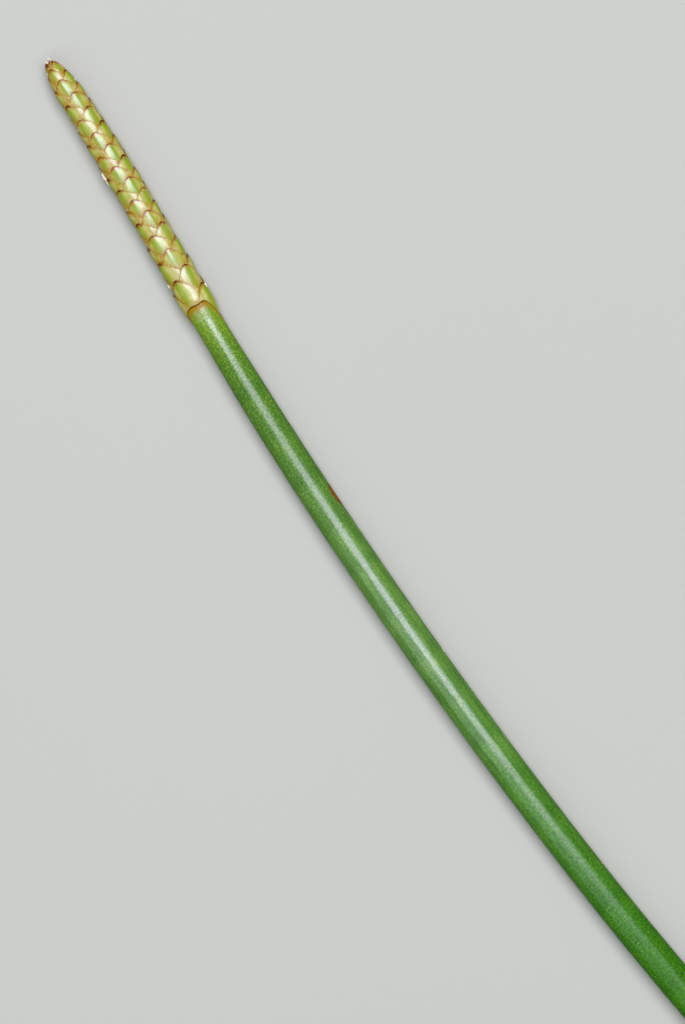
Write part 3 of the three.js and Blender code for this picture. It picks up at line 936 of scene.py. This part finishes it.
# Small dry bits
dryBits = {
    # where along the plant, azimuth, length, width, lean out of the surface, turn across it
    "flakes": [
        (123.5, -80, 1.3, 0.32, 7, 0), (122.7, -77, 1.2, 0.35, 5, 0), (124.5, -84, 0.5, 0.22, 14, 0),
        (135.45, 62, 0.5, 0.10, 42, 0), (132.2, -86, 0.42, 0.17, 7, 0), (130.3, -84, 0.45, 0.12, 10, 0),
        (128.7, -85, 0.22, 0.14, 12, 0), (119.9, 86, 1.3, 0.14, 3, 0), (114.2, -86, 0.35, 0.2, 10, 0),
        (109.2, -80, 0.45, 0.24, 10, 0), (106.8, 70, 0.9, 0.18, 4, 0), (137.9, -66, 0.25, 0.16, 30, 0),
    ],
    "flakeRoot": 0.22,
    "tuftCount": 17,
    "tuftFrom": 138.86,
    "tuftHeight": 0.36,
    "tuftRadius": 0.32,
    "tuftWidth": 0.22,
    "tuftTurn": 0.382,
    # where along the plant, azimuth, distance from the middle line, length, lean, turn
    "hairs": [
        (137.2, 62, 1.16, 0.7, 55, 20), (137.6, 75, 1.05, 0.6, 50, -15), (136.8, 70, 1.25, 0.6, 60, 0),
        (136.3, 80, 1.32, 0.5, 62, 25), (138.6, -62, 0.66, 0.5, 25, -10), (121.8, 80, 1.85, 0.5, 60, 10),
    ],
    "hairRadius": 0.011,
    "hairTone": 0.3,
    # where along the plant, azimuth, size
    "headSpecks": [(121.9, 76, 0.055), (116.6, 84, 0.05), (138.0, -58, 0.06), (109.6, -88, 0.07)],
    "stemSpecks": [
        (88.2, -84, 0.085), (56.4, 78, 0.10), (56.7, 84, 0.08), (56.15, 88, 0.07), (25.4, 74, 0.055),
        (11.9, -86, 0.075), (62.9, 88, 0.04), (41.0, 12, 0.03), (9.5, 40, 0.03),
    ],
    "speckTone": 0.8,
    "paper": (224, 218, 208),
    "paperWarm": (166, 130, 104),
    "paperBrown": (150, 110, 70),
}


def localAxes(s, azimuth, radius):
    # a point, and the directions forward along the plant, outward and sideways there
    azimuth = math.radians(azimuth)
    here = place(s, azimuth, radius)
    ahead, behind = place(min(s + 0.1, fullLength), azimuth, radius), place(s - 0.1, azimuth, radius)
    forward = Vector(ahead - behind).normalized()
    outward = Vector(place(s, azimuth, radius + 0.1) - here).normalized()
    return Vector(here), forward, outward, forward.cross(outward)


def addFlake(work, s, azimuth, radius, length, width, lean, turn):
    # a torn papery plate, rooted at one end
    here, forward, outward, sideways = localAxes(s, azimuth, radius)
    lean, turn = math.radians(lean), math.radians(turn)
    run = (forward * math.cos(lean) + outward * math.sin(lean)) * math.cos(turn) + sideways * math.sin(turn)
    # it stands on edge, so that it shows from above where the head curves away
    rise = (outward * math.cos(lean) - forward * math.sin(lean)).normalized()
    face = run.cross(rise).normalized()
    rows, columns = 9, 5
    u = np.linspace(0, 1, rows)[:, None]
    v = np.linspace(-0.35, 1, columns)[None, :]
    torn = 0.65 + 0.5 * dice.random((rows, 1))
    taper = np.sqrt(np.clip(1 - (1.9 * u - 0.95) ** 2, 0.03, 1)) * torn
    crumple = 0.035 * dice.standard_normal((rows, columns)) + 0.05 * np.sin(u * 5 + v * 3)
    offset = (np.asarray(run) * (u * length)[..., None] + np.asarray(rise) * (v * taper * width)[..., None]
              + np.asarray(face) * crumple[..., None])
    sheet = np.asarray(here) + offset * mm
    half = np.asarray(face) * 0.009 * mm
    tone = dice.random()
    maps = {"dryMap": np.stack([u + 0 * v, 0 * u + tone + 0 * v], -1)}
    work.addSheet(sheet + half, sheet - half, maps)


def addHair(work, s, azimuth, radius, length, lean, turn):
    here, forward, outward, sideways = localAxes(s, azimuth, radius)
    sides, rows = 5, 9
    lean, turn = math.radians(lean), math.radians(turn)
    points = []
    for i in range(rows):
        t = i / (rows - 1)
        bent = lean * (1 - 0.7 * t)
        direction = forward * math.cos(bent) + outward * math.sin(bent)
        direction = direction + sideways * math.sin(turn) * (0.3 + t)
        centre = here + direction * (t * length * mm)
        r = dryBits["hairRadius"] * (1 - 0.8 * t) * mm
        points.append([centre + (outward * math.cos(q) + sideways * math.sin(q)) * r
                       for q in np.arange(sides) * 2 * math.pi / sides])
    tone = dryBits["hairTone"]
    maps = {"dryMap": np.full((rows, sides + 1, 2), tone)}
    work.addTube(np.array(points), maps, {"dryMap": (tone, tone)})


def addSpeck(work, s, azimuth, radius, size):
    here, forward, outward, sideways = localAxes(s, azimuth, radius)
    sides, rows = 8, 5
    ring = np.arange(sides) * 2 * math.pi / sides
    polar = np.linspace(0.15, 0.95, rows)[:, None] * math.pi
    lumpy = size * (1 + 0.25 * dice.standard_normal((rows, sides)))
    grid = (np.asarray(here)
            + np.asarray(forward) * (np.sin(polar) * np.cos(ring) * lumpy * mm)[..., None]
            + np.asarray(sideways) * (np.sin(polar) * np.sin(ring) * lumpy * mm)[..., None]
            + np.asarray(outward) * (np.cos(polar) * lumpy * 0.8 * mm + 0 * ring)[..., None])
    tone = dryBits["speckTone"]
    maps = {"dryMap": np.full((rows, sides + 1, 2), tone)}
    work.addTube(grid, maps, {"dryMap": (tone, tone)}, flip=True)


def makePaper():
    look, tree, surface = newMaterial("dryPaper", {"Roughness": 0.6})
    at, tone = split(tree, mapped(tree, "dryMap"))[:2]
    where = put(tree, "ShaderNodeTexCoord").outputs["Object"]
    cloud = blotchMask(tree, where, 0.12 * mm)
    stained = times(tree, cloud, timesPlus(tree, tone, 0.7, 0.1))
    colour = paint(tree, srgb(*dryBits["paper"]), dryBits, (
        (stained, "paperWarm"), (band(tree, at, 0.25, 0.0, 0, 0.5), "paperBrown")))
    tree.links.new(colour, surface.inputs["Base Color"])
    setBump(tree, surface, cloud, 0.5, 0.02)
    return look


def buildDryBits(paper):
    work = Patchwork("dryMap")
    for s, turned, *shape in dryBits["flakes"]:
        addFlake(work, s, turned, float(headRadius(s)) - dryBits["flakeRoot"], *shape)
    # the frayed tuft at the tip
    for k in range(dryBits["tuftCount"]):
        turned = 360 * dryBits["tuftTurn"] * k + dice.uniform(-12, 12)
        lift = dryBits["tuftHeight"] * k / dryBits["tuftCount"]
        at, radius = dryBits["tuftFrom"] + lift, dryBits["tuftRadius"] - 0.5 * lift
        length, lean = dice.uniform(0.3, 0.42), dice.uniform(-8, 14)
        addFlake(work, at, turned, radius, length, dryBits["tuftWidth"], lean, 0)
    for hair in dryBits["hairs"]:
        addHair(work, *hair)
    for s, turned, size in dryBits["headSpecks"]:
        addSpeck(work, s, turned, float(headRadius(s)) - 0.06, size)
    work.finish("headDryBits", [paper])
    work = Patchwork("dryMap")
    for s, turned, size in dryBits["stemSpecks"]:
        addSpeck(work, s, turned, float(stemRadius(s, math.radians(turned))) + 0.25 * size, size)
    work.finish("stemSpecks", [paper])


buildDryBits(makePaper())
print("dry bits ready")

# Table, light and camera
studio = {
    # the table and the lamps are in metres and watts
    "tableSize": 6.0,
    "tableColour": (166, 164, 161),
    "worldColour": (0.84, 0.85, 0.86, 1.0),
    "worldStrength": 0.2,
    "keyAt": (0.315, -0.2, 1.1),
    "keySize": (0.73, 0.82),
    "keyPower": 18.2,
    "keyColour": (0.98, 1.0, 1.0),
    "fillAt": (-0.46, 0.75, 1.1),
    "fillSize": (0.88, 3.3),
    "fillPower": 13.7,
    "fillColour": (0.84, 0.98, 1.0),
    "cameraAt": (6.6506, 0.1078),
    "cameraUp": -34.7423,
    "cameraHeight": 600.0,
    "focusPlane": 2.0,
    "pixelsPerMm": 8.575,
    "imageHeight": 1024,
    "sensor": 36.0,
}


def makeTable():
    look, tree, surface = newMaterial("tableTop", {"Roughness": 0.9})
    where = put(tree, "ShaderNodeTexCoord").outputs["Object"]
    cloud = blotchMask(tree, where, 0.12)
    shade = srgb(*studio["tableColour"])
    colour = tint(tree, times(tree, cloud, 0.3), shade, tuple(v * 0.97 for v in shade[:3]) + (1.0,))
    tree.links.new(colour, surface.inputs["Base Color"])
    half = studio["tableSize"] / 2
    corners = [(-half, -half, 0), (half, -half, 0), (half, half, 0), (-half, half, 0)]
    mesh = bpy.data.meshes.new("table")
    mesh.from_pydata(corners, [], [(0, 1, 2, 3)])
    mesh.materials.append(look)
    table = bpy.data.objects.new("table", mesh)
    bpy.context.scene.collection.objects.link(table)


def addLight(name):
    data = bpy.data.lights.new(name, "AREA")
    data.shape = "RECTANGLE"
    data.size, data.size_y = studio[name + "Size"]
    data.energy = studio[name + "Power"]
    data.color = studio[name + "Colour"]
    lamp = bpy.data.objects.new(name, data)
    lamp.location = studio[name + "At"]
    bpy.context.scene.collection.objects.link(lamp)


def addCamera():
    data = bpy.data.cameras.new("camera")
    data.sensor_width = studio["sensor"]
    height = studio["imageHeight"] / studio["pixelsPerMm"]
    data.lens = studio["sensor"] * studio["cameraHeight"] / height
    data.clip_start, data.clip_end = 0.01, 20
    up = math.radians(studio["cameraUp"])
    axes = Matrix(((math.sin(up), math.cos(up), 0), (-math.cos(up), math.sin(up), 0), (0, 0, 1)))
    x, y = studio["cameraAt"]
    z = studio["cameraHeight"] + studio["focusPlane"]
    camera = bpy.data.objects.new("camera", data)
    camera.matrix_world = Matrix.Translation(Vector((x, y, z)) * mm) @ axes.to_4x4()
    bpy.context.scene.collection.objects.link(camera)
    bpy.context.scene.camera = camera


makeTable()
addLight("key")
addLight("fill")
world = bpy.data.worlds.new("studio")
world.use_nodes = True
world.node_tree.nodes["Background"].inputs["Color"].default_value = studio["worldColour"]
world.node_tree.nodes["Background"].inputs["Strength"].default_value = studio["worldStrength"]
bpy.context.scene.world = world
bpy.context.scene.view_settings.view_transform = "Standard"
addCamera()
print("studio ready")
